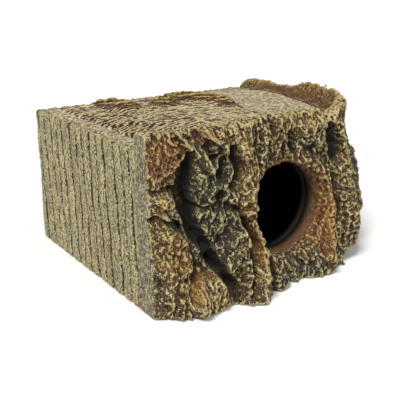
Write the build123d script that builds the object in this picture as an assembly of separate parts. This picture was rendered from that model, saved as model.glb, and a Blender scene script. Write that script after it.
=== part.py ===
from build123d import *
import math
import os

# Resin cave ornament: a cast timber box, a cast bark shell bonded round its front and right side,
# and a loose lid that drops into the top.
#
# Everything is drawn in a bench frame: X runs from the flat left face to the right, Y from the
# front slab to the back, Z up from the ground. The last step centres the parts on their footprint.

# ------------------------------------------------------------------ driving dimensions, in mm
body_back = 160.0        # front of the bark slab's top edge to the back face
slab_depth = 12.0        # thickness of the bark slab along its top edge
lid_right = 191.0        # left face to the furthest right of the lid's space
side_wall = 5.0          # box wall right of the lid, hidden by the bark
wall_top = 100.0         # top of the grooved left and back walls
crest_height = 110.0     # top of the bark slab at its left end
floor_depth = 6.0        # floor of the box
lid_depth = 8.0          # plate of the lid
left_rim = 4.0           # thin wall left of the lid
back_rim = 10.0          # wall top behind the lid
seat_width = 5.0         # ledge that the lid rests on
front_wall = 4.0         # box wall behind the slab
lid_gap = 0.7            # clearance round the lid's edge
seat_gap = 0.3           # clearance under the lid
bark_end = 186.0         # where the back wall's top meets the bark

front_turn = 16.0        # radius where the front walls run into the right-hand ones
side_bow = 60.0          # radius of the gentle bends down the right side
back_turn = 30.0         # radius of the lid's back right corner
edge_turn = 1.5          # radius of the lid's other corners

entrance_x = 102.5       # centre of the round entrance
entrance_z = 49.0
entrance_radius = 30.0
mouth_flare = 0.12       # how much the entrance widens for each mm outwards through the bark
notch_x = 183.0          # finger notch in the bark beside the lid
notch_y = 78.0
notch_radius = 13.0

grain_pitch = 6.5        # raised grain lines across the lid
grain_height = 1.2
grain_start = 18.0
grain_end = 128.0
knot_height = 6.0        # raised knots towards the lid's back edge
# Each knot's middle, length, width and turn in degrees from the X axis
knots = [(53, 135, 36, 18, 0), (98, 125, 38, 20, 25), (124, 105, 40, 18, -75)]

box_right = lid_right + side_wall
seat_height = wall_top - lid_depth
tall = crest_height + 30.0   # safely above everything, for cutting prisms
low = 30.0                   # safely beyond the bark's deepest flare

# ------------------------------------------------------------------ plan outlines


def rounded(points, radii):
    """A face with the given corners, each rounded to its own radius."""
    return make_face(FilletPolyline(*points, radius=radii, close=True))


def plan(left, front, back, outwards, turns):
    """An outline that is straight on three sides and bows out down the right side.

    outwards is how far its right side stands out from the lid's; turns are the radii of its front
    left, back right and back left corners."""
    right = lid_right + outwards
    corners = [(left, front), (156 + outwards, front), (178 + outwards, 52 - 0.4 * outwards)]
    corners += [(right, 105 - 0.2 * outwards), (right, back), (left, back)]
    return rounded(corners, [turns[0], front_turn, side_bow, side_bow, turns[1], turns[2]])


def pocket_face(inset=0.0):
    """The space for the lid."""
    turns = (edge_turn, back_turn, edge_turn)
    face = plan(left_rim, slab_depth, body_back - back_rim, 0, turns)
    return offset(face, amount=-inset) if inset else face


def box_face():
    """The outside of the timber box, hidden by the bark in front and on the right."""
    return plan(0, slab_depth, body_back, side_wall, (0.5, 4, 2))


def chamber_face():
    """The room inside, one seat width smaller than the lid's space."""
    turns = (6, back_turn - seat_width, 6)
    back = body_back - back_rim - seat_width
    return plan(left_rim + seat_width, slab_depth + front_wall, back, -seat_width, turns)


def prism(face, low_z, high_z):
    return extrude(Pos(0, 0, low_z) * face, amount=high_z - low_z)


def rim_prism():
    """Where the left and back walls rise past the lid's underside, before the lid's space is cut."""
    length = body_back - slab_depth
    left_strip = Pos(left_rim / 2, body_back - length / 2) * Rectangle(left_rim, length)
    back_strip = Pos(bark_end / 2, body_back - back_turn / 2) * Rectangle(bark_end, back_turn)
    strips = (left_strip + back_strip) & box_face()
    return prism(strips, seat_height, tall)


def entrance_bore():
    """The round way in, which runs through the bark and the box's front wall."""
    inner_end = slab_depth + 2 * front_wall
    bore = Cylinder(entrance_radius, low + inner_end, rotation=(90, 0, 0))
    return Pos(entrance_x, (inner_end - low) / 2, entrance_z) * bore


# ------------------------------------------------------------------ timber box


def timber_box():
    body = prism(box_face(), 0, seat_height)
    rims = rim_prism() & Pos(0, 0, wall_top / 2) * Box(3 * box_right, 3 * body_back, wall_top)
    body = body + rims
    body = body - prism(pocket_face(), seat_height, tall)
    body = body - prism(chamber_face(), floor_depth, tall)
    return body - entrance_bore()


# ------------------------------------------------------------------ bark shell

# Points along the bark's top edge, from the left end round the front and the right side to the
# back, each with how far the bark flares out from there at the ground.
bark_line = [
    (0, 0, 6), (12, 0, 12), (30, 0, 17), (46, 0, 18), (60, 0, 27), (74, 0, 25), (96, 0, 14),
    (114, 0, 14), (132, 0, 17), (148, 0, 14), (162, 7, 8), (171, 20, 14), (181, 38, 17),
    (190, 58, 17), (197, 79, 15), (201, 102, 13), (201, 126, 12), (201, 145, 12), (201, body_back, 11),
]
bark_levels = (0, 12, 32, 58, 84, tall)
side_belly = 5.5         # how much more the right side swells out below its middle
belly_height = 36.0
belly_spread = 22.0
ridge_depth = 2.0        # shallow vertical ridges down the bark
ridge_pitch = 2.6        # in points of the line above


def flare_share(height):
    """How much of the flare is left at a height: all at the ground, none at the crest."""
    return max(0.0, 1 - height / crest_height) ** 1.5


def belly(place, height):
    """The right side's swelling at a height; place counts points along the bark's line."""
    share = min(max(place - 9, 0) / 3, 1)
    return share * side_belly * math.exp(-(((height - belly_height) / belly_spread) ** 2))


def bark_section(height):
    """The bark's plan at one height, closed through the inside of the box."""
    points = []
    last = len(bark_line) - 1
    for i, (x, y, flare) in enumerate(bark_line):
        x0, y0, _ = bark_line[max(i - 1, 0)]
        x1, y1, _ = bark_line[min(i + 1, last)]
        along = math.hypot(x1 - x0, y1 - y0)
        outward = ((y1 - y0) / along, (x0 - x1) / along)
        ridge = ridge_depth * math.sin(2 * math.pi * i / ridge_pitch + height / 30)
        ridge = 0 if i in (0, last) else ridge
        reach = flare * flare_share(height) + belly(i, height) + ridge
        points.append((x + reach * outward[0], y + reach * outward[1]))
    points += [(bark_end - 6, body_back), (140, 60), (0, slab_depth)]
    return Pos(0, 0, height) * make_face(Polyline(*points, close=True))


# The height of the bark's uneven crest: seen from the front by X, and along the right rim by Y.
front_crest = [(-1, crest_height), (60, crest_height - 1), (112, crest_height + 1)]
front_crest += [(138, crest_height - 2), (148, crest_height - 4), (158, crest_height + 2)]
front_crest += [(170, crest_height + 4.5), (230, crest_height + 4.5)]
side_crest = [(-low, crest_height + 6), (14, crest_height + 5), (46, crest_height + 4.5)]
side_crest += [(66, crest_height + 3), (84, crest_height), (98, crest_height - 4.5)]
side_crest += [(116, crest_height - 3.5), (140, crest_height - 2), (body_back + 1, crest_height - 4)]


def under_crest(crest, plane):
    """Everything under one crest line, drawn in a vertical plane and run out both ways."""
    first, last = crest[0][0], crest[-1][0]
    outline = Polyline((last, -1), (first, -1), *crest, close=True)
    return extrude(plane * make_face(outline), amount=2 * box_right, both=True)


def bark_shell():
    body = loft([bark_section(z) for z in bark_levels], ruled=True)
    body = body & under_crest(front_crest, Plane.XZ) & under_crest(side_crest, Plane.YZ)
    body = body - prism(box_face(), -1, seat_height)
    body = body - rim_prism()
    body = body - prism(pocket_face(), seat_height, tall)
    body = body - entrance_bore()
    depth = low + slab_depth
    mouth = Cone(entrance_radius, entrance_radius + mouth_flare * depth, depth, rotation=(90, 0, 0))
    body = body - Pos(entrance_x, slab_depth - depth / 2, entrance_z) * mouth
    return body - Pos(notch_x, notch_y, crest_height + 2) * Sphere(notch_radius)


# ------------------------------------------------------------------ lid


def knot(x, y, length, width, turn):
    """A low swelling of the lid's grain, longer than it is wide, turned from X by some degrees."""
    swelling = scale(Sphere(1), by=(length / 2, width / 2, knot_height))
    above = Pos(0, 0, length - 1) * Box(2 * length, 2 * length, 2 * length)
    return Pos(x, y, wall_top) * Rot(0, 0, turn) * (swelling & above)


def lid():
    plate = prism(pocket_face(lid_gap), seat_height + seat_gap, wall_top)
    for place in knots:
        plate = plate + knot(*place)
    first_line, last_line = slab_depth + 8, body_back - back_rim - 8
    count = int((last_line - first_line) / grain_pitch) + 1
    for i in range(count):
        end = grain_end + 5 * math.sin(1.9 * i)
        line = Pos((grain_start + end) / 2, first_line + i * grain_pitch, wall_top)
        plate = plate + line * Box(end - grain_start, grain_pitch / 2, 2 * grain_height)
    return plate


# ------------------------------------------------------------------ centred and written

parts = {"timber_box": timber_box(), "bark_shell": bark_shell(), "lid": lid()}
whole = Compound([solid for part in parts.values() for solid in part.solids()]).bounding_box()
to_origin = Pos(-(whole.min.X + whole.max.X) / 2, -(whole.min.Y + whole.max.Y) / 2, -whole.min.Z)
os.makedirs("parts", exist_ok=True)
for name, part in parts.items():
    export_step(to_origin * part, f"parts/{name}.step")
print("bounding box, bench frame:", whole)
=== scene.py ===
import math
import bpy
import numpy as np
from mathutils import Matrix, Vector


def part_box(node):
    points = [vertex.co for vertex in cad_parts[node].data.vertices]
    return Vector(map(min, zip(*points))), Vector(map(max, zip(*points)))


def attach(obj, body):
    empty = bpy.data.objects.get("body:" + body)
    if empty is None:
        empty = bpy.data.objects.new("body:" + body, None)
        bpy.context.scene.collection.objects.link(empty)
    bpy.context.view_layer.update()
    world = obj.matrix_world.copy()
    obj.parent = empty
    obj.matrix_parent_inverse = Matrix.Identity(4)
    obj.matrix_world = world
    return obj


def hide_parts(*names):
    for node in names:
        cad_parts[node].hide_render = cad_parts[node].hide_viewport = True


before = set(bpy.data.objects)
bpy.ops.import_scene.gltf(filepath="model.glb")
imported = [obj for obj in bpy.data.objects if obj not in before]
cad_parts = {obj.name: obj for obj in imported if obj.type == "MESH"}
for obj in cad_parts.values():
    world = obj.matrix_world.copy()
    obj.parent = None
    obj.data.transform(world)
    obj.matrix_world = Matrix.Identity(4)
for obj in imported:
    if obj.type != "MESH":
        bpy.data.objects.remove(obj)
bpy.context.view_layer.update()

# A cast resin hide cave: a timber box, a bark shell round its front and right side, and a loose
# lid. Each casting is sculpted as a field in space, negative inside the resin, which is meshed
# where it is zero. The fields are drawn in millimetres in the bench frame of the design: X from
# the flat left face, Y from the front of the bark slab's top edge, Z up from the ground.

MM = 1000.0             # millimetres in a metre
CELL = 0.75      # mesh cell of the castings

# The design's own dimensions
SLAB = 12.0             # depth of the bark slab along its top edge
CREST = 110.0           # top of the slab at its left end
FLOOR = 6.0             # floor of the box
FRONT_WALL = 4.0        # box wall behind the slab
SIDE_WALL = 5.0         # box wall right of the lid
LEDGE = 5.0             # width of the lid's seat
GAP = 0.7               # clearance round the lid
SEAT_GAP = 0.3          # clearance under it
BARK_END = 186.0        # where the back wall's top meets the bark
BACK_STRIP = 120.0      # the box's back rim stays behind this, and its left rim left of the next
LEFT_STRIP = 20.0
ENTRANCE = (102.5, 49.0)                # middle of the round entrance, from the left and from the ground
ENTRANCE_RADIUS = 30.0
BOND = 0.12             # visible seam between the bark and the box

# The rest of its dimensions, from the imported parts
box_low, box_high = (np.array(corner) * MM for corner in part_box("timber_box"))
lid_low, lid_high = (np.array(corner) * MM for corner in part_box("lid"))
BENCH = np.array([box_low[0], box_low[1] - SLAB, 0.0])      # the bench frame's zero in the part's frame
BOX_RIGHT, BACK, WALL_TOP = box_high - BENCH
LID_RIGHT = BOX_RIGHT - SIDE_WALL
LEFT_RIM = lid_low[0] - BENCH[0] - GAP
LID_BACK = lid_high[1] - BENCH[1] + GAP
LID_LOW = lid_low[2]
SEAT = LID_LOW - SEAT_GAP

TILE = 64               # units after which a pattern of noise repeats
FAR = 9.0               # more units than there are to the nearest spot of a pattern

# ------------------------------ numbers and noise


def smooth(value, low=0.0, high=1.0):
    """0 below low, 1 above high, an S curve between."""
    t = np.clip((value - low) / (high - low), 0, 1)
    return t * t * (3 - 2 * t)


def blend_max(a, b, radius):
    """The larger of two fields, with the edge where they meet rounded."""
    near = np.clip(radius - np.abs(a - b), 0, None) / radius
    return np.maximum(a, b) + near * near * radius / 4


def ease(t):
    """From 0 to 1 as t does, with level ends."""
    return t ** 3 * (t * (t * 6 - 15) + 10)


def noise(u, v, seed):
    """Gradient noise of two numbers, about -1 to 1, with features about one unit across."""
    turn = np.random.default_rng(seed).random((TILE, TILE)) * 2 * np.pi
    u, v = np.broadcast_arrays(u, v)
    iu, iv = np.floor(u).astype(int), np.floor(v).astype(int)
    fu, fv = u - iu, v - iv
    share_u, share_v = ease(fu), ease(fv)
    total = np.zeros(u.shape)
    for du in (0, 1):
        for dv in (0, 1):
            angle = turn[(iu + du) % TILE, (iv + dv) % TILE]
            weight = (share_u if du else 1 - share_u) * (share_v if dv else 1 - share_v)
            total += weight * (np.cos(angle) * (fu - du) + np.sin(angle) * (fv - dv))
    return total * 1.5


def fractal(u, v, seed, octaves=4, gain=0.5):
    """Noise with ever finer noise added to it: each octave is half as large across as the last."""
    total = 0
    for i in range(octaves):
        total = total + gain ** i * noise(u * 2 ** i + 7.3 * i, v * 2 ** i, seed + i)
    return total


def wrinkles(u, v, seed, octaves=3, gain=0.55):
    """Sharp connected creases, 0 in the gaps to about 1 on the crests."""
    total, weight = 0, 0
    for i in range(octaves):
        layer = 1 - np.abs(noise(u * 2 ** i + 3.1 * i, v * 2 ** i, seed + i)) * 1.7
        total = total + gain ** i * np.clip(layer, 0, 1)
        weight += gain ** i
    return total / weight


def spots(u, v, seed, count):
    """The spots in the nine nearest unit squares of a jittered grid. Each comes with its count
    random traits, of which the first two are its place, and with how far off it is."""
    traits = np.random.default_rng(seed).random((TILE, TILE, count))
    iu, iv = np.floor(u).astype(int), np.floor(v).astype(int)
    for du in (-1, 0, 1):
        for dv in (-1, 0, 1):
            trait = traits[(iu + du) % TILE, (iv + dv) % TILE]
            off_u, off_v = iu + du + trait[..., 0] - u, iv + dv + trait[..., 1] - v
            yield trait, off_u, off_v, np.hypot(off_u, off_v)


def nearest_spot(u, v, seed):
    """Distance to the nearest of a jittered grid of spots."""
    u, v = np.broadcast_arrays(u, v)
    nearest = np.full(u.shape, FAR)
    for _, _, _, reach in spots(u, v, seed, 2):
        nearest = np.minimum(nearest, reach)
    return nearest


def flakes(u, v, seed):
    """Flat facets tilted at random, one to a unit square, about -1 to 1."""
    steepness = 2.4
    u, v = np.broadcast_arrays(u, v)
    nearest, height = np.full(u.shape, FAR), np.zeros(u.shape)
    for trait, off_u, off_v, reach in spots(u, v, seed, 5):
        tilt_u, tilt_v = (trait[..., 3] - 0.5) * steepness, (trait[..., 4] - 0.5) * steepness
        facet = trait[..., 2] - 0.5 + tilt_u * off_u + tilt_v * off_v
        height = np.where(reach < nearest, facet, height)
        nearest = np.minimum(nearest, reach)
    return height


# ------------------------------ outlines and distances


def rounded(points, radii, closed):
    """A dense outline through the given corners, each rounded to its own radius."""
    points = [np.array(p, float) for p in points]
    count, line = len(points), []
    for i, (corner, radius) in enumerate(zip(points, radii)):
        if not closed and i in (0, count - 1):
            line.append(corner)
            continue
        to_last, to_next = points[i - 1] - corner, points[(i + 1) % count] - corner
        to_last, to_next = to_last / np.hypot(*to_last), to_next / np.hypot(*to_next)
        half = math.acos(np.clip(to_last @ to_next, -1, 1)) / 2
        reach = radius / math.tan(half)
        middle = corner + (to_last + to_next) / np.hypot(*(to_last + to_next)) * radius / math.sin(half)
        start, stop = corner + to_last * reach - middle, corner + to_next * reach - middle
        sweep = math.atan2(start[0] * stop[1] - start[1] * stop[0], start @ stop)
        for t in np.linspace(0, sweep, 9):
            turn = np.array([[math.cos(t), -math.sin(t)], [math.sin(t), math.cos(t)]])
            line.append(middle + turn @ start)
    return np.array(line)


def from_line(u, v, points, closed=False):
    """Distance from a line of points, how far along it the nearest spot is, and the side."""
    points = np.asarray(points, float)
    stops = np.roll(points, -1, axis=0) if closed else points[1:]
    starts = points if closed else points[:-1]
    u, v = np.broadcast_arrays(np.asarray(u, float), np.asarray(v, float))
    best = np.full(u.shape, 1e9)
    along, side = np.zeros(u.shape), np.ones(u.shape)
    travelled = 0.0
    for (au, av), (bu, bv) in zip(starts, stops):
        du, dv = bu - au, bv - av
        length = math.hypot(du, dv) or 1e-9
        t = np.clip(((u - au) * du + (v - av) * dv) / length ** 2, 0, 1)
        reach = np.hypot(u - au - t * du, v - av - t * dv)
        closer = reach < best
        best = np.where(closer, reach, best)
        along = np.where(closer, travelled + t * length, along)
        side = np.where(closer, np.sign((u - au) * dv - (v - av) * du), side)
        travelled += length
    return best, along, side


def outline_field(x, y, points):
    """Distance from a closed outline, negative inside it."""
    best, _, _ = from_line(x, y, points, closed=True)
    inside = np.zeros(best.shape, bool)
    for (ax, ay), (bx, by) in zip(points, np.roll(points, -1, axis=0)):
        if ay != by:
            crossing = (y - ay) / (by - ay)
            inside ^= ((ay > y) != (by > y)) & (x < ax + crossing * (bx - ax))
    return np.where(inside, -best, best)


# Radii of the bends down the right side, as the design draws them
FRONT_TURN, SIDE_BOW = 16, 60


def right_side(outwards, front):
    """The corners down the right side, standing out from those of the lid's space."""
    return [(156 + outwards, front), (178 + outwards, 52 - 0.4 * outwards),
            (LID_RIGHT + outwards, 105 - 0.2 * outwards)]


def plan(left, front, back, outwards, turns):
    """An outline that is straight on three sides and bows out down the right side. turns are the
    radii of its front left, back right and back left corners."""
    corners = [(left, front), *right_side(outwards, front), (LID_RIGHT + outwards, back), (left, back)]
    return rounded(corners, [turns[0], FRONT_TURN, SIDE_BOW, SIDE_BOW, turns[1], turns[2]], closed=True)


BOX_OUTLINE = plan(0, SLAB, BACK, SIDE_WALL, (0.5, 4, 1))
POCKET = plan(LEFT_RIM, SLAB, LID_BACK, 0, (1.5, 30, 1.5))
CHAMBER = plan(LEFT_RIM + LEDGE, SLAB + FRONT_WALL, LID_BACK - LEDGE, -LEDGE, (6, 25, 6))
# The bark follows the box's hidden front and right faces, so places on it are given by how far
# along this line they are (which is X on the front) and by their height.
BOX_CORNERS = [(0, SLAB), *right_side(SIDE_WALL, SLAB), (BOX_RIGHT, BACK)]
BOX_EDGE = rounded(BOX_CORNERS, [0, FRONT_TURN, SIDE_BOW, SIDE_BOW, 0], closed=False)


def along_and_out(x, y):
    """How far along the box's edge a place is, and how far outside it."""
    reach, along, side = from_line(x, y, BOX_EDGE)
    return along, np.where(side > 0, reach, -reach)


def from_bore(x, z):
    """Distance from the middle line of the round entrance."""
    return np.hypot(x - ENTRANCE[0], z - ENTRANCE[1])


def back_strip(x, y):
    """Negative where the back wall's top belongs to the box and not to the bark."""
    return np.maximum(x - BARK_END, BACK_STRIP - y)


# ------------------------------ maps of relief


def profile(place, table):
    """The value at a place, read between the rows of a table."""
    return np.interp(place, *zip(*table))


class Map:
    """A function of two lengths, worked out once on a fine grid and then read between its points."""

    def __init__(self, function, low, high, step=0.4):
        self.low, self.step = low, step
        u = np.arange(low[0], high[0] + step, step)[:, None]
        v = np.arange(low[1], high[1] + step, step)[None, :]
        self.grid = np.broadcast_to(function(u, v), (u.size, v.size)).astype(np.float32)

    def at(self, u, v):
        rows, columns = self.grid.shape
        u = np.clip((u - self.low[0]) / self.step, 0, rows - 1.001)
        v = np.clip((v - self.low[1]) / self.step, 0, columns - 1.001)
        u, v = np.broadcast_arrays(u, v)
        iu, iv = u.astype(np.int32), v.astype(np.int32)
        fu, fv = (u - iu).astype(np.float32), (v - iv).astype(np.float32)
        flat, corner = self.grid.ravel(), iu * columns + iv
        low_side = flat[corner] * (1 - fv) + flat[corner + 1] * fv
        high_side = flat[corner + columns] * (1 - fv) + flat[corner + columns + 1] * fv
        return low_side * (1 - fu) + high_side * fu


def ridge(u, v, path, width, height):
    """A rounded ridge along a path, or a furrow where its height is negative."""
    reach, _, _ = from_line(u, v, path)
    return height * np.clip(1 - (reach / width) ** 2, 0, 1) ** 1.5


def mound(u, v, centre, radii, lean, height, rim=0.35):
    """A raised patch with a fairly flat top. lean tips it to the right going up, in degrees."""
    c, s = math.cos(math.radians(lean)), math.sin(math.radians(lean))
    du, dv = u - centre[0], v - centre[1]
    reach = np.hypot((du * c - dv * s) / radii[0], (du * s + dv * c) / radii[1])
    return height * smooth(1 + rim / 2 - reach, 0, rim)


# ------------------------------ bark

# How far the bark flares out at the ground: (place along the box's edge, flare)
FLARE = [
    (0, 6), (8, 11), (20, 15), (33, 18), (44, 18), (51, 19), (60, 28), (68, 28), (76, 24), (84, 20),
    (91, 15.5), (101, 11.5), (113, 14), (121, 18.5), (129, 19), (137, 15), (148, 14), (157, 8), (162, 5),
    (168, 10), (178, 14), (190, 16), (206, 15), (225, 13), (250, 10), (316, 9),
]
# How much thicker the right side is than the flare makes it: (height, thickness)
RIGHT = [(0, -6), (5, -3), (12, 0), (20, 3), (32, 6), (50, 4), (66, 1.5), (76, -0.5), (84, -6), (110, -5.5)]
# How far the bark's uneven top edge rises past CREST: (place along the box's edge, rise)
RISE = [
    (0, 0), (60, -1), (112, 1), (134, -1.5), (144, -4), (152, 0), (163, 5), (180, 8), (200, 7.5),
    (221, 6), (240, 4), (247, 0.5), (256, -3), (273, -3), (296, -2.5), (310, -4), (316, -7),
]

# Deep furrows and cracks in the bark: (path along and up, half width, depth)
FURROWS = [
    ([(29, 99), (27, 90)], 4.2, 6),
    ([(26, 88), (24, 76), (25, 66)], 7.8, 10),
    ([(30, 66), (42, 64), (52, 70)], 3.0, 3.5),
    ([(55, 62), (62, 60)], 4.0, 4.0),
    ([(25, 66), (29, 54), (36, 40), (42, 29)], 5.5, 9),
    ([(42, 29), (51, 17), (57, -2)], 4.8, 6),
    ([(36, 109), (41, 99), (44, 91)], 4.6, 7),
    ([(50, 91), (50, 82)], 6.0, 9),
    ([(60, 94), (64, 85), (60, 75)], 5.5, 9),
    ([(-3, 61), (5, 64.5), (13, 62.5), (20, 56)], 2.4, 5.5),
    ([(-2, 79), (8, 81), (18, 77)], 2.4, 3.5),
    ([(30, 33), (24, 25), (20, 16)], 2.4, 4.5),
    ([(63, 52), (69, 37), (66, 20), (61, -2)], 5.2, 8.5),
    ([(80, 27), (82.5, 12), (84.5, -4)], 3.8, 8),
    ([(97, 19), (101, 8), (103, -4)], 3.2, 4),
    ([(118, 16), (122, 4), (123, -4)], 3.0, 3.5),
    ([(90, 112), (91, 98), (91.5, 84)], 2.6, 4),
    ([(99, 112), (101, 96), (99, 84)], 2.6, 4.5),
    ([(108, 104), (110, 95), (112, 86)], 3.4, 4.5),
    ([(142, 98), (145, 90), (149, 78)], 6.5, 9),
    ([(146, 66), (147, 52), (150, 38)], 3.0, 3.5),
    ([(160, 96), (163, 62), (168, 6)], 4.0, 5.5),
    ([(178, 108), (179, 60), (184, 0)], 4.2, 5.5),
    ([(199, 112), (196, 70), (199, 30), (205, 0)], 4.6, 6),
    ([(222, 104), (216, 70), (224, 34), (219, 0)], 4.0, 5),
    ([(243, 88), (237, 52), (249, 18), (247, 0)], 4.6, 5.5),
    ([(237, 52), (226, 30)], 2.8, 3.5),
    ([(270, 110), (262, 66), (268, 30), (259, 0)], 4.2, 5),
    ([(262, 66), (250, 84), (249, 104)], 3.0, 4),
    ([(296, 74), (288, 40), (293, 0)], 5.0, 5.5),
    ([(290, 112), (286, 92), (296, 74), (310, 60)], 3.4, 4.5),
]
# Raised ridges: (path, half width, height)
RIDGES = [
    ([(68, 109), (70, 86), (71, 62), (72, 46)], 9, 4),
    ([(36, 86), (40, 71), (46, 54)], 7, 3.5),
    ([(24, 106), (32, 98), (40, 89)], 3.2, 4),
    ([(50, 108), (54, 95), (47, 84), (40, 71)], 3.6, 4.5),
    ([(33, 40), (42, 52), (50, 60)], 3.0, 2.5),
    ([(36, 31), (46, 42), (56, 50)], 3.0, 2.5),
    ([(62, 74), (70, 66), (74, 54)], 3.4, 3),
    ([(79, 43), (75, 32), (72, 16), (67, 0)], 8.0, 5),
    ([(84, 32), (89, 18), (93, 2)], 7.5, 4.5),
    ([(124, 80), (132, 68), (138, 50), (139, 32), (134, 16)], 7.0, 6.5),
    ([(152, 100), (154, 62), (159, 16)], 6.5, 3.5),
    ([(170, 98), (172, 50), (176, 8)], 7.0, 3.5),
    ([(188, 104), (188, 56), (193, 6)], 7.5, 4),
    ([(210, 104), (206, 50), (213, 6)], 7.5, 3.5),
    ([(230, 96), (228, 62), (236, 6)], 8.0, 3),
    ([(256, 60), (255, 30), (253, 6)], 9.0, 3),
    ([(280, 104), (278, 56), (276, 6)], 9.0, 2.5),
]
# Raised plates and lumps: (centre, half sizes, lean, height)
LUMPS = [
    ((9, 97), (15, 10), -14, 2.5),
    ((7, 70.5), (10, 7.5), 5, 4.5),
    ((10, 44), (14, 17), -22, 6.0),
    ((12, 14), (17, 14), 0, 4.0),
    ((33, 14), (13, 13), 0, 7.0),
    ((44, 97), (8, 12), -6, 5.0),
    ((53, 40), (4.5, 16), 27, 6.5),
    ((36, 58), (6, 10), 20, 3.0),
    ((86, 96), (5, 12), 0, 2.5),
    ((95, 97), (3, 12), -4, 2.5),
    ((104, 8), (6, 9), 0, 3.0),
    ((126, 98), (12, 9), 0, 3.0),
    ((128, 10), (9, 9), 0, 2.5),
    ((38, 50), (13, 26), 20, -3.0),
    ((258, 92), (9, 12), 8, 3.0),
    ((236, 24), (9, 17), -12, 2.5),
    ((304, 88), (10, 16), 0, 3.0),
    ((303, 30), (9, 22), 10, 3.0),
]


def wandered(s, z):
    """Places on the bark, shifted about a little so that its forms have natural outlines."""
    return s + 1.5 * fractal(s / 15, z / 19, 21, 3), z + 1.8 * fractal(s / 14, z / 17, 31, 3)


def bark_forms(s, z):
    """The large relief: furrows, ridges and raised plates, fading out near the ground."""
    s, z = wandered(s, z)
    forms = 0
    for path, width, height in FURROWS:
        forms = forms - ridge(s, z, path, width, height)
    for path, width, height in RIDGES:
        forms = forms + ridge(s, z, path, width, height)
    for centre, radii, lean, height in LUMPS:
        forms = forms + mound(s, z, centre, radii, lean, height)
    return forms * (1 - 0.65 * smooth(15 - z, 0, 15))


def bark_profile(s, z):
    """How far the plain bark, without its relief, stands off the box."""
    flare = profile(s, FLARE) * np.clip(1 - z / CREST, 0, 1) ** 1.5
    flare = flare - mound(s, z, (114, 54), (38, 40), 0, 4.5, 1.0)
    top = SLAB - 3.5 * smooth(s, 146, 185) + profile(z, RIGHT) * smooth(s, 147, 160)
    return top + flare


def bark_texture(s, z, calm, at_rim):
    """The fine relief: plates, facets, creases, threads and pits, lower where calm is less than 1."""
    bent_s, bent_z = wandered(s, z)
    lean = 0.40 * mound(s, z, (52, 50), (34, 66), 0, 1, 1.0)
    bent_s = bent_s + 1.3 * fractal(s / 6, z / 8, 51, 2) - lean * (z - 50)
    plates = 2.6 * fractal(bent_s / 13, bent_z / 34, 41, 3) * (1 - 0.6 * at_rim)
    facets = 1.9 * flakes(bent_s / 8, bent_z / 15, 53) + 1.0 * flakes(bent_s / 3.8, bent_z / 6.5, 57)
    creases = 3.0 * (wrinkles(bent_s / 7.5, bent_z / 17, 61, 3, 0.6) - 0.5)
    threads = 1.3 * (wrinkles(bent_s / 2.9, bent_z / 5.6, 65, 2) - 0.5)
    pits = -1.4 * smooth(0.16 - nearest_spot(s / 6.5, z / 7.5, 69), 0, 0.08)
    return plates + (facets + creases + threads + pits) * calm


def bark_thickness(s, z):
    """How far the bark's outside stands off the box, at s along and z up."""
    forms = bark_forms(s, z)
    at_rim = smooth(s, 150, 166) * smooth(z, 80, 94)
    calm = (1 - 0.6 * smooth(-forms, 3, 8)) * (1 - 0.5 * at_rim)
    inland = smooth(s, 0, 9)
    forms = forms * (0.2 + 0.8 * inland) * (1 - 0.8 * at_rim)
    detail = bark_texture(s, z, calm, at_rim) * (0.3 + 0.7 * inland)
    grit = 0.35 * fractal(s / 1.7, z / 2.0, 71, 2)
    thickness = bark_profile(s, z) + forms + detail + grit
    least = 3.5 - 3.5 * smooth(z, SEAT - 6, SEAT + 4)
    return np.maximum(thickness, least + 0.8 * fractal(s / 4, z / 4, 81, 2))


def bark_crest(s):
    """Height of the bark's top edge."""
    return CREST + profile(s, RISE)


def crown_relief(x, y):
    """Roughness of the bark's top surface."""
    lumps = 1.5 * fractal(x / 11, y / 11, 91, 3)
    worms = 1.0 * (wrinkles(x / 2.8, y / 2.8, 97, 2) - 0.5)
    return lumps + 1.6 * (wrinkles(x / 5, y / 5, 95) - 0.5) + worms + 0.4 * fractal(x / 1.8, y / 1.8, 99, 2)


def inner_relief(s, z):
    """Roughness of the bark's face over the lid, which only ever stands back from the lid."""
    return 1.0 + 1.6 * fractal(s / 9, z / 9, 87, 2) + 1.6 * (wrinkles(s / 4.5, z / 4.5, 89) - 0.5)


# Smooth hollows in the bark's inner face, to get a fingertip under the lid's edge: (place, size)
SCOOPS = [((175, 78, CREST + 1), 12.5), ((176, 150, CREST - 1), 11.5)]

# The maps run a little past the castings on all sides
BELOW, ABOVE = 3.0, 14.0
MAP_LOW, MAP_HIGH = (-6, -BELOW), (322, CREST + ABOVE)
bark_map = Map(bark_thickness, MAP_LOW, MAP_HIGH)
forms_map = Map(bark_forms, MAP_LOW, MAP_HIGH, 0.8)
inner_map = Map(inner_relief, (MAP_LOW[0], SEAT - 4), MAP_HIGH)
crown_map = Map(crown_relief, (-2, -40), (240, BACK + 4))


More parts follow.
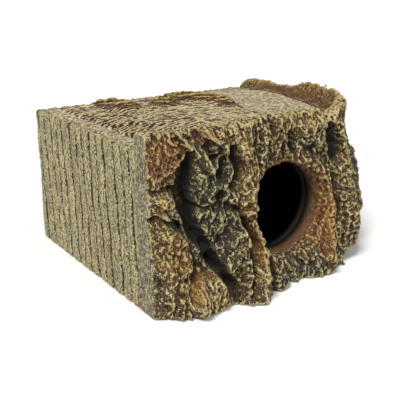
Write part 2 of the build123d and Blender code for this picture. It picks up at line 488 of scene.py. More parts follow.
def bark_block(x, y, z, along, out, at_rim):
    """The bark as a solid block: its outside, crest, back, foot and flat left end."""
    droop = 0.22 * np.clip(out - 8, -6, 16)
    outside = (out - bark_map.at(along, z + droop)) * 0.8
    nicks = 0.45 * np.clip(forms_map.at(along, CREST - 6), -7, 2)
    nicks = nicks * smooth(out, 0, 7) * smooth(165 - along, 0, 15)
    ragged = smooth(along, -2, 6) * (1 - 0.35 * at_rim) * (1 - 0.5 * smooth(along, 296, 316))
    top = z - bark_crest(along) - (crown_map.at(x, y) + nicks) * ragged
    # behind the lid the bark's top comes down to meet the back wall's
    top = top + 8 * (1 - smooth(x, BARK_END - 1, BARK_END + 8)) * smooth(y, 125, 140)
    body = blend_max(outside, top, 3.5)
    grooves = 0.3 * fractal(y / 1.3, z / 16, 101, 2) + 0.25 * fractal(y / 1.6, z / 1.6, 105, 2)
    body = blend_max(body, grooves - x, 0.8)
    body = np.maximum(body, y - BACK)
    return blend_max(body, 0.3 + 0.35 * noise(x / 6, y / 6, 102) - z, 2.5)


def way_in(x, y, z):
    """The entrance: a smooth bore that opens out to a rough mouth, wider on its right."""
    radius, angle = from_bore(x, z), np.arctan2(z - ENTRANCE[1], x - ENTRANCE[0])
    to_right = smooth(np.cos(angle + 0.1), 0.1, 1)
    rough = 1.7 * noise(angle * 3, y / 7, 103) + 1.3 * fractal(angle * 9, y / 3, 104, 2)
    mouth = smooth(3 - y, 0, 14) * (0.6 + 3.0 * to_right) + smooth(7 - y, 0, 8) * rough
    return ENTRANCE_RADIUS + mouth - radius


def lid_space(x, y, z, along, at_rim):
    """The lid's space, a little wider than in the box, and more above it as the bark leans out."""
    lean = np.clip(z - WALL_TOP - 1.5, 0, None) * (0.12 + 0.32 * at_rim)
    lean = lean + np.clip(inner_map.at(along, z), 0, None) * smooth(z, WALL_TOP, WALL_TOP + 2)
    return outline_field(x, y, POCKET) - 0.2 * GAP - lean


def box_space(x, y, z):
    """Where the timber box and its rims go, which the bark leaves free."""
    outline = outline_field(x, y, BOX_OUTLINE)
    box = np.maximum(outline - BOND, z - SEAT)
    rims = np.maximum(back_strip(x, y), outline) - BOND
    left_wall = np.maximum(x - LEFT_STRIP, SLAB - BOND - y)
    return np.minimum(np.minimum(box, rims), left_wall)


def bark_field(x, y, z):
    along, out = along_and_out(x, y)
    at_rim = smooth(along, 150, 175)
    body = bark_block(x, y, z, along, out, at_rim)
    body = blend_max(body, way_in(x, y, z), 1.6)
    body = blend_max(body, -lid_space(x, y, z, along, at_rim), 1.0 + 1.5 * at_rim)
    for place, size in SCOOPS:
        dx, dy, dz = x - place[0], (y - place[1]) * 0.7, z - place[2]
        body = blend_max(body, size - np.sqrt(dx * dx + dy * dy + dz * dz), 1.5)
    return np.maximum(body, -box_space(x, y, z))


# ------------------------------ planks

PLANK_PITCH = 10.4
BACK_START = 400        # the back's planks are read from here on, so that they differ from the side's


def plank_rows(u, z):
    """Distance from the nearest groove, and the place across the planks that it is measured at."""
    across = u + 8.0 * (1 - z / WALL_TOP) + 1.3 * fractal(u / 30, z / 38, 111, 3)
    row = across / PLANK_PITCH + 0.22 * noise(across / 19, 0.5, 115) + 0.07 * noise(across / 7, z / 16, 114)
    return np.abs(row - np.round(row)) * PLANK_PITCH + 0.45 * noise(u / 2, z / 2.2, 116), across


def plank_relief(u, z):
    """Grooved timber: u runs across the planks and z up them."""
    off, across = plank_rows(u, z)
    depth = np.clip(1.2 + 0.7 * noise(across / 8, z / 7, 117), 0.4, 2.0)
    groove = -depth * np.exp(-((off / 0.95) ** 2))
    lines = -1.1 * np.clip(wrinkles(across / 3.4, z / 42, 121, 2) - 0.62, 0, 1)
    fibres = 0.34 * fractal(across / 1.25, z / 9, 125, 2)
    pits = -0.6 * smooth(0.24 - nearest_spot(across / 2.1, z / 3.2, 129), 0, 0.12)
    belly = 0.45 * smooth(off, 0, PLANK_PITCH / 2)
    return groove + lines + fibres + pits + belly + 0.5 * fractal(u / 24, z / 30, 131, 2)


def back_relief(u, z):
    return plank_relief(u + BACK_START, z)


side_map = Map(plank_relief, (-4, -BELOW), (BACK + 4, WALL_TOP + 4), 0.35)
back_map = Map(back_relief, (-4, -BELOW), (BOX_RIGHT + 4, WALL_TOP + 4), 0.35)


def box_field(x, y, z):
    """The box. Above its seat only its left and back rims stand: past_rims is all the rest."""
    left = 0.3 - x - side_map.at(y, z)
    back = y - BACK + 0.2 - back_map.at(x, z)
    body = blend_max(np.maximum(outline_field(x, y, BOX_OUTLINE), left), back, 1.5)
    body = blend_max(body, z - WALL_TOP + 0.5 - 0.7 * fractal(x / 5, y / 5, 141, 3), 2.2)
    body = blend_max(body, 0.3 + 0.4 * noise(x / 7, y / 7, 142) - z, 2.0)
    pocket = np.maximum(outline_field(x, y, POCKET), SEAT - z)
    past_rims = np.maximum(-np.minimum(back_strip(x, y), x - LEFT_RIM), SEAT - z)
    chamber = np.maximum(outline_field(x, y, CHAMBER), FLOOR - z)
    bore = np.maximum(from_bore(x, z) - ENTRANCE_RADIUS, y - SLAB - 2 * FRONT_WALL)
    body = blend_max(body, -pocket, 0.8)
    body = np.maximum(body, -past_rims)
    body = blend_max(body, -chamber, 1.5)
    return blend_max(body, -bore, 0.5)


# ------------------------------ lid

# The raised layer of grain is bounded on the right by this line, and swells into two knots.
GRAIN_EDGE = [(128, 8), (127, 60), (128, 81), (135, 101), (143, 121), (146, 135), (140, 152)]
STRAND_PITCH = 3.7
KNOT_CREST = [(84, 118), (97, 128), (111, 130), (122, 119), (127, 102), (125.5, 84)]


def grain_share(x, y):
    """1 in the raised layer of wood grain, 0 on the smooth sandy parts."""
    off, _, side = from_line(x, y, GRAIN_EDGE)
    right = np.where(side > 0, off, -off) + 2.0 * fractal(x / 9, y / 9, 151, 2)
    scallops = 13.8 + 1.6 * fractal(y / 5.5, 0.3, 155, 3)
    return smooth(-right, -0.5, 2.0) * smooth(x - scallops, -0.6, 1.2)


def lid_knots(x, y):
    """Height of the two knots that swell out of the lid's grain."""
    first = mound(x, y, (53, 135), (22, 12), 78, 4.6, 1.1)
    second = ridge(x, y, KNOT_CREST, 13, 6.0) * (1 - 0.5 * smooth(110 - y, 0, 30))
    return (first + second) * (0.9 + 0.2 * fractal(x / 9, y / 9, 161, 2))


def lid_strands(x, y):
    """The wood grain's strands on the lid, arching round the knots: 1 on crests, 0 in the gaps."""
    bend = 11 * smooth(lid_knots(x, y), 0, 8) + 3.0 * fractal(x / 30, y / 24, 163, 2)
    flow = np.hypot(x - 66, y - 5) + bend
    phase = flow / STRAND_PITCH + 0.42 * noise(x / 13, y / 8, 171) + 0.13 * noise(x / 5, y / 4, 173)
    strands = 0.5 + 0.5 * np.cos(2 * np.pi * phase)
    breaks = wrinkles(x / 7.5, flow / 3.4, 175, 2)
    return np.clip(0.72 * strands ** 0.8 + 0.42 * breaks - 0.06, 0, 1)


def knot_stripes(x, y):
    """Broader strands that run over the knots: 1 on crests, 0 in the gaps."""
    height = lid_knots(x, y) + 0.6 * fractal(x / 9, y / 7, 165, 2)
    return 0.5 + 0.5 * np.cos(2 * np.pi * (height / 1.9 + y / 16))


def lid_relief(x, y):
    knots, strands = lid_knots(x, y), lid_strands(x, y)
    on_knot = smooth(knots, 0.8, 3.2)
    strands = strands + on_knot * (0.35 * strands + 0.55 * knot_stripes(x, y) - strands)
    layer = 0.5 + knots + 2.4 * (strands - 0.55) + 0.7 * fractal(x / 16, y / 10, 179, 2)
    layer = layer + 0.25 * fractal(x / 1.7, y / 1.5, 177, 2)
    sand = 0.22 * fractal(x / 1.5, y / 1.5, 181, 2) + 0.25 * fractal(x / 20, y / 20, 183, 2)
    return sand + grain_share(x, y) * layer


lid_map = Map(lid_relief, (0, SLAB - 2), (LID_RIGHT + 3, BACK), 0.35)


def lid_field(x, y, z):
    outline = outline_field(x, y, POCKET) + GAP + 0.25 * noise(x / 4, y / 4, 191)
    top = z - WALL_TOP - lid_map.at(x, y)
    body = blend_max(outline, top, 1.6)
    return np.maximum(body, LID_LOW + 0.05 - z)


# ------------------------------ from field to mesh

CORNERS = [(i, j, k) for i in (0, 1) for j in (0, 1) for k in (0, 1)]


def sample(field, low, high):
    """A field's values on a grid of points one cell apart, worked out in slabs to save memory."""
    ax, ay, az = (np.arange(a, b + CELL, CELL) for a, b in zip(low, high))
    y, z = ay[None, :, None], az[None, None, :]
    slab = 24
    starts = range(0, ax.size, slab)
    return np.concatenate([field(ax[i:i + slab, None, None], y, z).astype(np.float32) for i in starts])


def cut_cells(inside):
    """The grid cells that the surface cuts, and a grid of their numbers."""
    nx, ny, nz = inside.shape
    filled = sum(inside[i:nx - 1 + i, j:ny - 1 + j, k:nz - 1 + k].astype(np.int8) for i, j, k in CORNERS)
    cut = (filled > 0) & (filled < len(CORNERS))
    cell = np.argwhere(cut)
    number = np.full(cut.shape, -1, np.int32)
    number[cut] = np.arange(len(cell))
    return cell, number


def cell_points(value, cell):
    """One point for each cut cell, at the mean of its edge crossings, counted in cells."""
    total, count = np.zeros((len(cell), 3)), np.zeros(len(cell))
    at_corner = {corner: value[tuple((cell + corner).T)] for corner in CORNERS}
    for corner in CORNERS:
        for axis in range(3):
            if corner[axis]:
                continue
            far = tuple(c + (n == axis) for n, c in enumerate(corner))
            a, b = at_corner[corner], at_corner[far]
            crossed = (a < 0) != (b < 0)
            share = np.where(crossed, a / np.where(crossed, a - b, 1), 0)
            spot = np.array(corner, float)[None, :].repeat(len(cell), 0)
            spot[:, axis] += share
            total += spot * crossed[:, None]
            count += crossed
    return cell + total / count[:, None]


def edge_quads(inside, number):
    """One quad for each grid edge that the surface cuts, through the cells round that edge."""
    quads = []
    for axis in range(3):
        here = [slice(1, -1)] * 3
        here[axis] = slice(0, -1)
        there = list(here)
        there[axis] = slice(1, None)
        a, b = inside[tuple(here)], inside[tuple(there)]
        edge = np.argwhere(a != b) + [0 if n == axis else 1 for n in range(3)]
        outward = inside[tuple(edge.T)]
        one, two = [n for n in range(3) if n != axis]
        ring = []
        for back_one, back_two in ((0, 0), (1, 0), (1, 1), (0, 1)):
            step = edge.copy()
            step[:, one] -= back_one
            step[:, two] -= back_two
            ring.append(number[tuple(step.T)])
        quad = np.stack(ring, 1)
        flip = outward if axis != 1 else ~outward
        quads.append(np.where(flip[:, None], quad, quad[:, ::-1]))
    return np.concatenate(quads)


def surface(field, low, high):
    """Points and quads where a field is zero."""
    value = sample(field, low, high)
    inside = value < 0
    cell, number = cut_cells(inside)
    return np.array(low, float) + cell_points(value, cell) * CELL, edge_quads(inside, number)


def neighbour_mean(values, quads, degree):
    """Each point's values averaged over the points it shares an edge with."""
    total = np.zeros_like(values)
    for i in range(4):
        a, b = quads[:, i], quads[:, (i + 1) % 4]
        for n in range(values.shape[1]):
            total[:, n] += np.bincount(a, values[b, n], len(values))
            total[:, n] += np.bincount(b, values[a, n], len(values))
    return total / degree[:, None]


def point_normals(points, quads):
    corner = points[quads]
    face = np.cross(corner[:, 2] - corner[:, 0], corner[:, 3] - corner[:, 1])
    normals = np.zeros((len(points), 3))
    for i in range(4):
        for n in range(3):
            normals[:, n] += np.bincount(quads[:, i], face[:, n], len(points))
    return normals / np.maximum(np.linalg.norm(normals, axis=1, keepdims=True), 1e-9)


def relief_of(points, quads, passes):
    """How far each point stands proud of the surface around it: small passes read fine edges."""
    degree = np.bincount(quads.ravel(), minlength=len(points)) * 2.0
    soft = points
    for _ in range(passes):
        soft = neighbour_mean(soft, quads, degree)
    return ((points - soft) * point_normals(points, quads)).sum(1)


# What the paint reads as an edge and as a hollow: (reach of the smoothing, relief that counts as 1)
EDGE = (3, 0.35)
HOLLOW = (50, 3.0)


def add_object(name, data):
    made = bpy.data.objects.new(name, data)
    bpy.context.scene.collection.objects.link(made)
    return made


def casting(node, body, field, low, high, masks, material):
    """One cast piece, meshed from its field, with its relief and paint masks as attributes."""
    name = node + "_cast"
    points, quads = surface(field, low, high)
    mesh = bpy.data.meshes.new(name)
    mesh.from_pydata(((points + BENCH) / MM).tolist(), [], quads.tolist())
    mesh.validate()
    layers = {
        "edge": relief_of(points, quads, round(EDGE[0] / CELL)) / EDGE[1],
        "hollow": -relief_of(points, quads, round(HOLLOW[0] / CELL)) / HOLLOW[1],
    }
    layers.update(masks(*points.T, point_normals(points, quads)))
    for layer, values in layers.items():
        attribute = mesh.attributes.new(layer, "FLOAT", "POINT")
        attribute.data.foreach_set("value", np.asarray(values, np.float32))
    mesh.shade_smooth()
    mesh.materials.append(material)
    piece = add_object(name, mesh)
    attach(piece, body)
    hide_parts(node)
    print(name, len(points), "points", len(quads), "quads")


# ------------------------------ paint


class Paint:
    """Builds one node material. Lengths in its textures are in millimetres. Colours are red, green
    and blue as they look, 10 to 255, and shade mixes them darker, because the light is bright."""

    def __init__(self, name, shade=0.66):
        self.shade = shade
        self.material = bpy.data.materials.new(name)
        self.material.use_nodes = True
        self.tree = self.material.node_tree
        self.tree.nodes.clear()
        sockets = {0: self.add("ShaderNodeTexCoord", {})["Object"], "Scale": MM}
        self.place = self.add("ShaderNodeVectorMath", sockets, operation="SCALE")[0]

    def add(self, kind, sockets, **settings):
        """Adds a node, sets or links its input sockets, and gives its outputs."""
        node = self.tree.nodes.new(kind)
        for key, value in settings.items():
            setattr(node, key, value)
        for socket, value in sockets.items():
            if isinstance(value, bpy.types.NodeSocket):
                self.tree.links.new(value, node.inputs[socket])
            else:
                node.inputs[socket].default_value = value
        return node.outputs

    def stretched(self, x, y, z):
        """Coordinates for grain that is x, y and z mm long each way."""
        sockets = {0: self.place, 1: (1 / x, 1 / y, 1 / z)}
        return self.add("ShaderNodeVectorMath", sockets, operation="MULTIPLY")[0]

    def noise(self, size, detail, rough, place=None, bend=0.0):
        sockets = {"Vector": self.place if place is None else place, "Scale": 1 / size}
        sockets.update({"Detail": detail, "Roughness": rough, "Distortion": bend})
        return self.add("ShaderNodeTexNoise", sockets)["Fac"]

    def veins(self, size, width, place, bend=0.8):
        """Thin winding lines, 1 along their middles. width runs from 0 to about 0.1."""
        field = self.noise(size, 2, 0.5, place, bend)
        return self.range(self.math("ABSOLUTE", self.centred(field)), width, 0.0)

    def read(self, name):
        """A mask or relief that the casting's points carry."""
        return self.add("ShaderNodeAttribute", {}, attribute_name=name)["Fac"]

    def math(self, operation, *values):
        return self.add("ShaderNodeMath", dict(enumerate(values)), operation=operation)[0]

    def times(self, a, b):
        return self.math("MULTIPLY", a, b)

    def centred(self, noise):
        """A noise with its middle at 0."""
        return self.math("SUBTRACT", noise, 0.5)

    def total(self, *terms):
        """The sum of values, each times its weight."""
        result = 0.0
        for value, weight in terms:
            result = self.math("MULTIPLY_ADD", value, weight, result)
        return result

    def range(self, value, low, high, most=1.0, least=0.0):
        """value from low to high becomes least to most, held at the ends."""
        sockets = {"Value": value, "From Min": low, "From Max": high, "To Min": least, "To Max": most}
        return self.add("ShaderNodeMapRange", sockets, interpolation_type="SMOOTHSTEP")[0]

    def mix(self, share, first, second):
        """first where share is 0 and second where it is 1, each a node's output or as it looks."""
        sockets = {0: share}
        for socket, colour in ((6, first), (7, second)):
            if isinstance(colour, tuple):
                colour = [self.shade * ((c / 255 + 0.055) / 1.055) ** 2.4 for c in colour] + [1]
            sockets[socket] = colour
        return self.add("ShaderNodeMix", sockets, data_type="RGBA")[2]

    def coats(self, colour, *coats):
        """Lays coats over a colour, one after another, each as its share and its own colour."""
        for share, coat in coats:
            colour = self.mix(share, colour, coat)
        return colour

    def finish(self, colour, height, depth, roughness):
        bump = self.add("ShaderNodeBump", {"Height": height, "Distance": depth / MM, "Strength": 1.0})[0]
        sockets = {"Base Color": colour, "Normal": bump, "Roughness": roughness, "Specular IOR Level": 0.3}
        self.add("ShaderNodeOutputMaterial", {0: self.add("ShaderNodeBsdfPrincipled", sockets)[0]})
        return self.material

    def cast(self, colour, height, smoothest, roughest):
        """The finish of a casting: bumps half a millimetre deep, and roughest in its hollows."""
        roughness = self.range(self.read("hollow"), -0.5, 0.8, roughest, smoothest)
        return self.finish(colour, height, 0.5, roughness)


class BarkPaint(Paint):
    """The layers of the bark's paint, with the noises and masks that they share."""

    def __init__(self):
        super().__init__("painted bark")
        drawn = self.stretched(1, 1, 1.6)
        self.fine = self.veins(2.3, 0.05, drawn)
        self.cracks = self.veins(4.2, 0.04, drawn, 1.2)
        self.grit = self.noise(0.85, 2, 0.6)
        self.flecks = self.noise(1.35, 2, 0.55, place=drawn)
        self.tones = self.noise(3.4, 3, 0.6)
        self.edge, self.hollow, self.deep = (self.read(name) for name in ("edge", "hollow", "deep"))
        self.rust, self.gold, self.grey = (self.read(name) for name in ("rust", "gold", "grey"))

    def washes(self):
        """Thin coats of brown, rust, gold and grey, darkest in the cracks, with painted shade in the
        creases and down the deep furrows.
        """
        patches = self.noise(15, 3, 0.6)
        blotch = self.range(self.tones, 0.62, 0.36, 1.0, 0.3)
        crack_and_crease_shade_brown = (26, 21, 15)
        return self.coats(
            self.mix(self.range(self.tones, 0.38, 0.62), (54, 40, 28), (120, 92, 60)),
            (self.range(patches, 0.48, 0.60, 0.6), (102, 90, 68)),
            (self.grey, (72, 70, 57)),
            (self.times(self.rust, blotch), (172, 106, 52)),
            (self.times(self.gold, blotch), (196, 140, 52)),
            (self.range(self.grit, 0.50, 0.38, 0.85), (30, 23, 16)),
            (self.times(self.cracks, 0.75), crack_and_crease_shade_brown),
            # painted shade: the creases darkened with the cracks' brown
            (self.range(self.edge, -0.2, -1.5, 0.95), crack_and_crease_shade_brown),
            # painted shade down the deep furrows
            (self.times(self.deep, 0.9), (32, 31, 25)),
        )

    def brushed(self, colour):
        """Cream brushed over whatever stands proud, with a painted highlight on the crest's upward faces,
        and then painted shade in the hollows.
        """
        lift = self.total(
            (self.fine, 0.35), (self.centred(self.flecks), 1.0), (self.centred(self.grit), 1.3),
            # painted highlight: more cream on the crest's upward faces; less in the furrows and hollows,
            # where shade is painted
            (self.edge, 0.6), (self.read("crown_highlight"), 0.22), (self.gold, 0.15), (self.grey, -0.04),
            (self.deep, -0.45), (self.range(self.hollow, 0.0, 1.3), -0.35),
        )
        tints = self.noise(2.3, 1, 0.5)
        cream = self.coats(
            self.mix(self.range(tints, 0.42, 0.58), (244, 224, 130), (250, 232, 186)),
            (self.times(self.grey, 0.5), (196, 196, 160)),
            (self.times(self.rust, 0.6), (226, 166, 92)),
        )
        return self.coats(
            colour,
            (self.range(lift, 0.14, 0.56, 0.92), cream),
            # painted shade in the hollows
            (self.range(self.hollow, 0.4, 2.0, 0.8), (30, 28, 22)),
        )

    def plain(self):
        """The smooth brown inside of the rim and of the entrance, with painted shade, near black, further
        into the entrance.
        """
        return self.coats(
            self.mix(self.range(self.grit, 0.35, 0.65), (112, 84, 60), (156, 120, 84)),
            (self.range(self.tones, 0.46, 0.60, 0.7), (156, 92, 56)),
            # painted shade: near black deep in the entrance
            (self.read("dark"), (14, 12, 10)),
        )

    def left_end(self):
        """The flat left end, streaked like the planks beside it."""
        streaks = self.noise(1, 3, 0.6, place=self.stretched(1.0, 1.0, 9))
        return self.coats(
            self.mix(self.range(streaks, 0.38, 0.62), (140, 130, 102), (206, 192, 150)),
            (self.range(self.grit, 0.52, 0.42, 0.9), (66, 58, 42)),
            (self.range(self.flecks, 0.46, 0.36, 0.8), (72, 66, 50)),
            (self.range(self.flecks, 0.56, 0.68, 0.8), (236, 224, 180)),
        )


def bark_paint():
    paint = BarkPaint()
    end = paint.read("end")
    colour = paint.brushed(paint.washes())
    colour = paint.coats(colour, (paint.read("plain"), paint.plain()), (end, paint.left_end()))
    lines = paint.total((paint.fine, 0.6), (paint.cracks, -0.8))
    lines = paint.times(lines, paint.math("SUBTRACT", 1.0, end))
    height = paint.total((lines, 1.0), (paint.grit, 1.0), (paint.flecks, 1.2))
    return paint.cast(colour, height, 0.6, 0.85)


def plank_paint():
    paint = Paint("painted planks")
    streaks = paint.noise(1, 3, 0.6, place=paint.stretched(1.5, 1.5, 22))
    speckle = paint.noise(1, 2, 0.6, place=paint.stretched(0.8, 0.8, 1.5))
    patches = paint.noise(24, 2, 0.5)
    warm = paint.noise(1, 2, 0.5, place=paint.stretched(11, 11, 60))
    edge = paint.read("edge")
    off_groove = paint.total((paint.read("groove"), 1.0), (paint.centred(speckle), 2.4))
    colour = paint.coats(
        paint.mix(paint.range(streaks, 0.36, 0.62), (150, 134, 94), (226, 212, 160)),
        (paint.range(patches, 0.50, 0.64, 0.6), (172, 170, 130)),
        (paint.range(warm, 0.56, 0.66, 0.4), (170, 126, 88)),
        (paint.range(speckle, 0.52, 0.40, 0.9), (80, 64, 40)),
        (paint.range(speckle, 0.55, 0.66, 0.8), (246, 234, 180)),
        (paint.range(off_groove, 1.5, 0.7, 0.97), (34, 26, 16)),
        # painted shade in the creases and grooves of the planks
        (paint.range(edge, -0.4, -1.6, 0.8), (56, 46, 28)),
        (paint.range(edge, 0.4, 1.4, 0.85), (214, 208, 110)),
        (paint.read("inside"), (32, 27, 21)),
    )
    return paint.cast(colour, paint.math("ADD", streaks, speckle), 0.62, 0.8)


class LidPaint(Paint):
    """The lid's three paints, with the noises that they share."""

    def __init__(self):
        super().__init__("painted lid")
        self.speckle = self.noise(0.9, 2, 0.65)
        self.grains = self.noise(2.2, 2, 0.6)
        self.fibres = self.veins(2.6, 0.05, self.stretched(2.2, 1, 1))
        self.bright = self.total((self.read("strands"), 1.0), (self.speckle, 0.7), (self.fibres, 0.12))

    def sand(self):
        patches = self.noise(22, 2, 0.5)
        return self.coats(
            self.mix(self.range(patches, 0.4, 0.6), (244, 222, 180), (240, 222, 170)),
            (self.range(self.speckle, 0.53, 0.43, 0.95), (92, 70, 46)),
            (self.range(self.speckle, 0.55, 0.66, 0.9), (255, 240, 206)),
            (self.range(self.grains, 0.49, 0.40, 0.8), (112, 88, 58)),
            (self.range(self.grains, 0.53, 0.61, 0.8), (255, 244, 214)),
        )

    def wood(self):
        """Strands of grain, cream on their crests and brown between them."""
        return self.coats(
            self.mix(self.range(self.bright, 0.92, 1.26), (102, 78, 54), (240, 220, 170)),
            (self.range(self.bright, 1.06, 0.74, 0.94), (42, 31, 22)),
            (self.range(self.grains, 0.48, 0.38, 0.6), (88, 64, 48)),
        )

    def knots(self):
        """Dark red-brown, with yellow brushed along the crest of each stripe."""
        stripe = (self.read("stripe"), 1.0)
        crest = self.total(stripe, (self.centred(self.speckle), 0.8), (self.centred(self.grains), 1.6))
        return self.coats(
            self.mix(self.range(self.bright, 1.00, 1.35), (74, 48, 36), (170, 132, 92)),
            (self.range(self.bright, 1.05, 0.80), (40, 24, 18)),
            (self.range(self.grains, 0.48, 0.38, 0.7), (118, 66, 34)),
            (self.range(crest, 0.58, 0.95, 0.9), (226, 202, 112)),
        )


def lid_paint():
    paint = LidPaint()
    wood = paint.mix(paint.read("knot"), paint.wood(), paint.knots())
    colour = paint.mix(paint.read("grain"), paint.sand(), wood)
    colour = paint.mix(paint.read("rim"), colour, (92, 66, 48))
    return paint.cast(colour, paint.total((paint.fibres, 0.3), (paint.speckle, 0.8)), 0.65, 0.85)


def floor_paint():
    paint = Paint("pale floor", shade=1.0)
    clouds = paint.noise(400, 2, 0.5)
    colour = paint.mix(clouds, (244, 244, 243), (250, 250, 249))
    return paint.finish(colour, clouds, 0.01, 0.8)


# ------------------------------ where each paint goes

# Patches of each colour on the bark: (centre, half sizes, lean, strength, softness)
RUST = [
    ((133, 38), (9, 26), 0, 1.0, 0.8), ((11, 95), (14, 14), 0, 0.9, 0.9),
    ((15, 42), (10, 12), -30, 0.6, 0.8), ((50, 103), (4, 5), 0, 0.5, 0.6),
    ((38, 106), (5, 4), 0, 0.8, 0.8), ((26, 22), (3, 14), 40, 0.8, 0.8),
    ((93, 98), (4, 12), 0, 0.4, 0.8), ((240, 60), (20, 30), 0, 0.3, 0.9),
    ((240, 109), (80, 11), 0, 0.55, 0.6),
]
GOLD = [
    ((31, 12), (14, 13), 0, 0.6, 0.8), ((73, 22), (5, 18), 14, 0.5, 0.8),
    ((8, 70), (9, 7), 0, 0.5, 0.8), ((12, 35), (10, 22), -20, 0.35, 0.9),
    ((143, 105), (9, 4.5), 0, 1.3, 0.5), ((120, 104), (14, 6), 0, 0.5, 0.8),
    ((137, 30), (3, 18), 0, 0.7, 0.8), ((62, 100), (10, 9), 0, 0.35, 0.9),
    ((158, 60), (5, 30), 0, 0.3, 0.9), ((240, 109), (80, 11), 0, 0.5, 0.8),
    ((68, 82), (9, 24), 0, 0.4, 0.9),
]
GREY = [
    ((36, 56), (20, 38), 18, 0.7, 0.8), ((98, 10), (26, 15), 0, 0.8, 0.8),
    ((95, 92), (14, 12), 0, 0.4, 0.9), ((178, 50), (16, 40), 0, 0.45, 0.9),
    ((270, 50), (30, 40), 0, 0.4, 0.9),
]


def stain(s, z, patches):
    """How much of a colour there is at s along the bark and z up."""
    return sum(mound(s, z, *patch) for patch in patches)


# Each of these gives the paint's masks at a casting's points, from their places and normals.


def bark_masks(x, y, z, normals):
    along, out = along_and_out(x, y)
    wobble = 2.5 * fractal(along / 6, z / 6, 201, 3)
    place = along + wobble, z + wobble
    outer = smooth(out, 3, 6)
    high = smooth(z, WALL_TOP + 2, WALL_TOP + 4)
    # painted highlight on the upward faces near the bark's crest
    crown_highlight = smooth(normals[:, 2], 0.3, 0.8) * smooth(z, CREST - 9, CREST - 3)
    off_axis = from_bore(x, z)
    bore = smooth(ENTRANCE_RADIUS + 2.5 - off_axis, 0, 1.5) * smooth(y, -4, 1)
    mouth = smooth(ENTRANCE_RADIUS + 11 - off_axis, 0, 4) * smooth(-normals[:, 0], 0.25, 0.6)
    # the rim's inner face: near the lid, above its seat, steep, and below the rough top of the rim
    inner = smooth(4.6 - outline_field(x, y, POCKET), 0, 1.6) * smooth(z, SEAT, SEAT + 4)
    inner = inner * smooth(0.75 - normals[:, 2], 0, 0.3) * smooth(CREST + 4 + wobble - z, 0, 4)
    # painted shade down the bark's furrows, read off its large relief
    deep = smooth(-forms_map.at(along, z), 1.5, 7) * outer
    rust = np.clip(stain(*place, RUST) + 0.75 * mouth * (1 - bore), 0, 1)
    return {
        "rust": rust * np.maximum(outer, high),
        "gold": np.clip(stain(*place, GOLD), 0, 1) * (1 - 0.6 * bore),
        "grey": np.clip(stain(*place, GREY), 0, 1) * outer,
        "crown_highlight": crown_highlight * (1 - 0.7 * smooth(along, 158, 176)),
        "deep": deep * (1 - bore) * (1 - crown_highlight),
        "plain": np.maximum(bore, 0.85 * inner * smooth(along, 150, 190)),
        # painted shade: the entrance goes near black further in
        "dark": bore * smooth(y, 3, 10),
        "end": smooth(-normals[:, 0], 0.75, 0.95) * smooth(1.5 - x, 0, 1),
    }


def box_masks(x, y, z, normals):
    inside = smooth(x, 1.8, 2.6) * smooth(BACK - 1.6 - y, 0, 1) * smooth(SEAT + 2 - z, 0, 2)
    on_side, on_back = smooth(-normals[:, 0], 0.2, 0.6), smooth(normals[:, 1], 0.2, 0.6)
    groove = np.where(on_side > on_back, plank_rows(y, z)[0], plank_rows(x + BACK_START, z)[0])
    groove = groove + 4 * (1 - np.maximum(on_side, on_back)) * smooth(WALL_TOP - z, 0, 3)
    groove = groove + 0.6 * np.clip(noise((x + y) / 9, z / 9, 118), 0, 1)
    return {"inside": inside, "groove": np.where(inside > 0.5, PLANK_PITCH, groove)}


def lid_masks(x, y, _z, _normals):
    rim = smooth(outline_field(x, y, POCKET) + GAP, -1.2, -0.4) * smooth(LID_BACK - 6 - y, -4, -8)
    share = grain_share(x, y)
    height = lid_knots(x, y)
    knot = smooth(height, 0.3, 2.2) * share
    strands, stripe = lid_strands(x, y), knot_stripes(x, y) * smooth(height, 1.6, 3.6)
    return {"grain": share, "strands": strands, "stripe": stripe, "knot": knot, "rim": rim}


# ------------------------------ camera, light and floor

# The camera, fitted to the object's straight edges in the photo
CAMERA = (-182.5, -319.0, 196.7)
LENS = 61.9
DOWNWARDS, RIGHTWARDS = 18.53, 34.52    # how far it is turned, in degrees


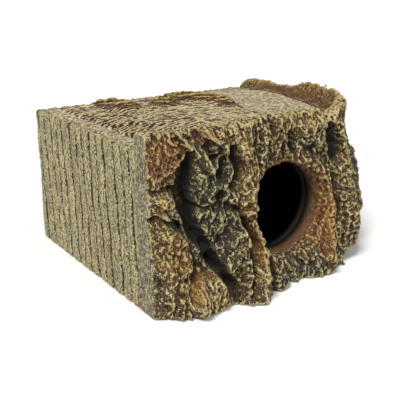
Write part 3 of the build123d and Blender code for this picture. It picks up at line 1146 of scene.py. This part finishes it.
def set_camera():
    lens = bpy.data.cameras.new("camera")
    lens.lens = LENS
    lens.clip_start = 0.01
    camera = add_object("camera", lens)
    camera.location = tuple((np.array(CAMERA) + BENCH) / MM)
    camera.rotation_euler = (math.radians(90 - DOWNWARDS), 0, math.radians(-RIGHTWARDS))
    bpy.context.scene.camera = camera


def add_sun(name, azimuth, elevation, softness, strength):
    """Even light from a direction: azimuth 0 is behind the camera of a front view, 90 to its right."""
    lamp = bpy.data.lights.new(name, "SUN")
    lamp.energy = strength
    lamp.angle = math.radians(softness)
    light = add_object(name, lamp)
    light.rotation_euler = (math.radians(90 - elevation), 0, math.radians(azimuth))


def set_floor():
    reach = 6.0     # metres
    corners = [(-reach, -reach, 0), (reach, -reach, 0), (reach, reach, 0), (-reach, reach, 0)]
    mesh = bpy.data.meshes.new("floor")
    mesh.from_pydata(corners, [], [(0, 1, 2, 3)])
    mesh.materials.append(floor_paint())
    floor = add_object("floor", mesh)


def set_studio():
    add_sun("key", -60, 55, 20, 2.9)
    add_sun("fill", 15, 35, 60, 0.7)
    world = bpy.data.worlds.new("studio")
    world.use_nodes = True
    background = world.node_tree.nodes["Background"]
    background.inputs["Color"].default_value = (1, 1, 1, 1)
    background.inputs["Strength"].default_value = 0.35
    bpy.context.scene.world = world
    bpy.context.scene.view_settings.view_transform = "Standard"
    set_floor()


# ------------------------------ the object

set_camera()
set_studio()
spare = 2 * CELL                        # room round each casting
FRONT_ROOM, RIGHT_ROOM, TOP_ROOM = 34, 30, 12       # room for relief in front, on the right and on top
casting(
    "bark_shell", "cave", bark_field,
    (-spare, -FRONT_ROOM, -spare), (BOX_RIGHT + RIGHT_ROOM, BACK + spare, CREST + TOP_ROOM),
    bark_masks, bark_paint(),
)
casting(
    "timber_box", "cave", box_field,
    (-spare, SLAB - spare, -spare), (BOX_RIGHT + spare, BACK + spare, WALL_TOP + spare + 1),
    box_masks, plank_paint(),
)
casting(
    "lid", "lid", lid_field,
    (LEFT_RIM - spare, SLAB - spare, LID_LOW - spare),
    (LID_RIGHT + spare, LID_BACK + spare, WALL_TOP + TOP_ROOM),
    lid_masks, lid_paint(),
)
